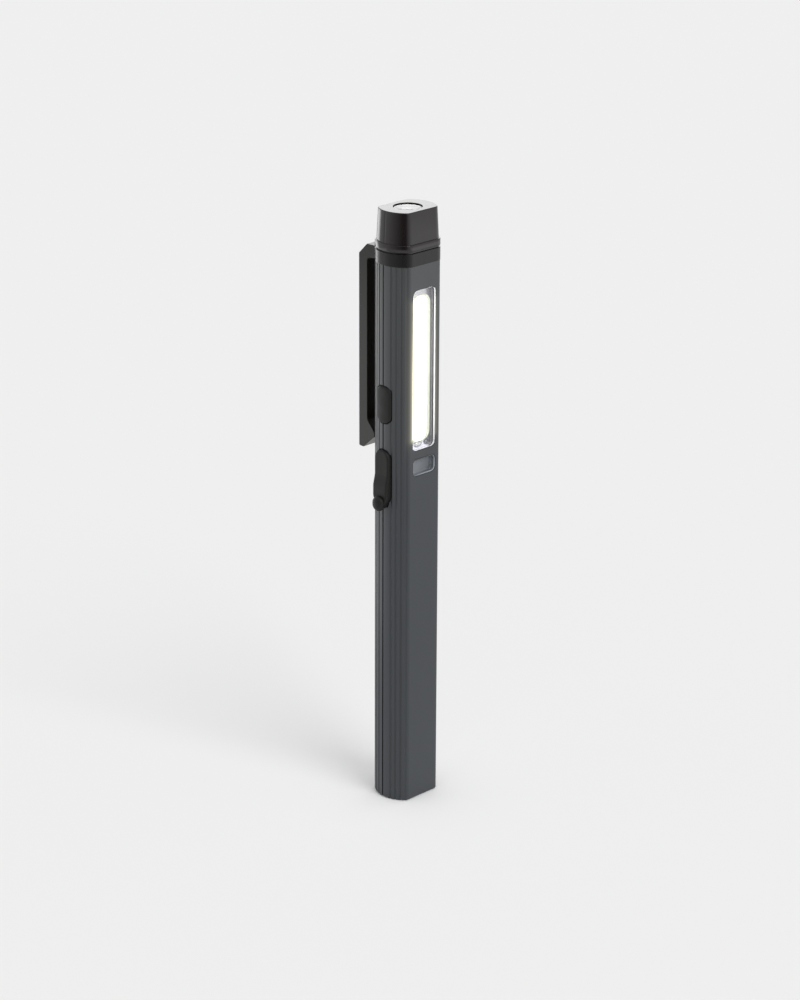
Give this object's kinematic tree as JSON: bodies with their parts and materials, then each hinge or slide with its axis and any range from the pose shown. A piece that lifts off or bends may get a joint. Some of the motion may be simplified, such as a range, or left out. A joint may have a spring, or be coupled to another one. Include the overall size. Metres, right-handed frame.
{
  "type": "penlight",
  "caption": "Slim rechargeable penlight: flat-sided case with fluted edges, long strip-light window, torch in the head, side button, rubber port cover and pocket clip.",
  "frame": {"origin": "centre of the flat base", "axes": "+Z along the case to the torch head, -Y out of the strip light, -X out of the button and charging port, +Y out of the clip"},
  "size_m": [0.0206, 0.0198, 0.17],
  "materials": {
    "shell_grey": "satin moulded plastic",
    "black_plastic": "semi-gloss moulded plastic",
    "black_rubber": "matt rubber",
    "clear_lens": "clear polycarbonate",
    "smoked_lens": "smoky translucent polycarbonate",
    "white_plastic": "white moulded plastic",
    "white_board": "white solder mask",
    "dam_silicone": "pale yellow silicone",
    "lit_phosphor": "lit phosphor",
    "led_dome": "cast resin",
    "solder": "bright solder",
    "bright_metal": "plated metal",
    "dark_resin": "dark moulded resin",
    "green_board": "green solder mask",
    "cell_sleeve": "shrink sleeve",
    "nickel": "nickel strip",
    "wire_red": "PVC insulation",
    "wire_black": "PVC insulation"
  },
  "bodies": {
    "case": {"front_shell": "shell_grey", "rear_shell": "shell_grey", "clip_collar": "black_plastic", "head_cap": "black_plastic", "torch_lens": "clear_lens", "torch_reflector": "bright_metal", "torch_led_board": "white_board", "torch_led": "led_dome", "torch_leads": "wire_red", "light_window": "clear_lens", "cob_reflector": "white_plastic", "cob_substrate": "white_board", "cob_dam": "dam_silicone", "cob_phosphor": "lit_phosphor", "cob_solder_joints": "solder", "cob_leads": "wire_red", "indicator_window": "smoked_lens", "indicator_leds": "led_dome", "tact_switch": "dark_resin", "port_cover_strap": "black_rubber", "usb_socket": "bright_metal", "usb_tongue": "dark_resin", "main_pcb": "green_board", "pcb_components": "dark_resin", "pcb_screws": "bright_metal", "battery_cell": "cell_sleeve", "battery_tabs": "nickel", "battery_lead_positive": "wire_red", "battery_lead_negative": "wire_black"},
    "button": {"power_button": "black_rubber", "switch_plunger": "white_plastic"},
    "cover_flap": {"port_cover": "black_rubber"},
    "clip": {"pocket_clip": "black_plastic"}
  },
  "joints": [
    {"name": "button_press", "type": "slide", "parent": "case", "child": "button", "axis": [1, 0, 0], "range_m": [0, 0.0005], "stiffness_N_per_m": 800, "springref_m": -0.0002},
    {"name": "port_cover_hinge", "type": "hinge", "parent": "case", "child": "cover_flap", "pos_m": [-0.0095, 0.0005, 0.10138], "axis": [0, 1, 0], "range_deg": [0, 100], "stiffness_Nm_per_rad": 0.004, "springref_deg": -5.73},
    {"name": "clip_flex", "type": "hinge", "parent": "case", "child": "clip", "pos_m": [0, 0.00665, 0.1589], "axis": [1, 0, 0], "range_deg": [0, 5], "stiffness_Nm_per_rad": 3.2, "springref_deg": -1.15}
  ]
}
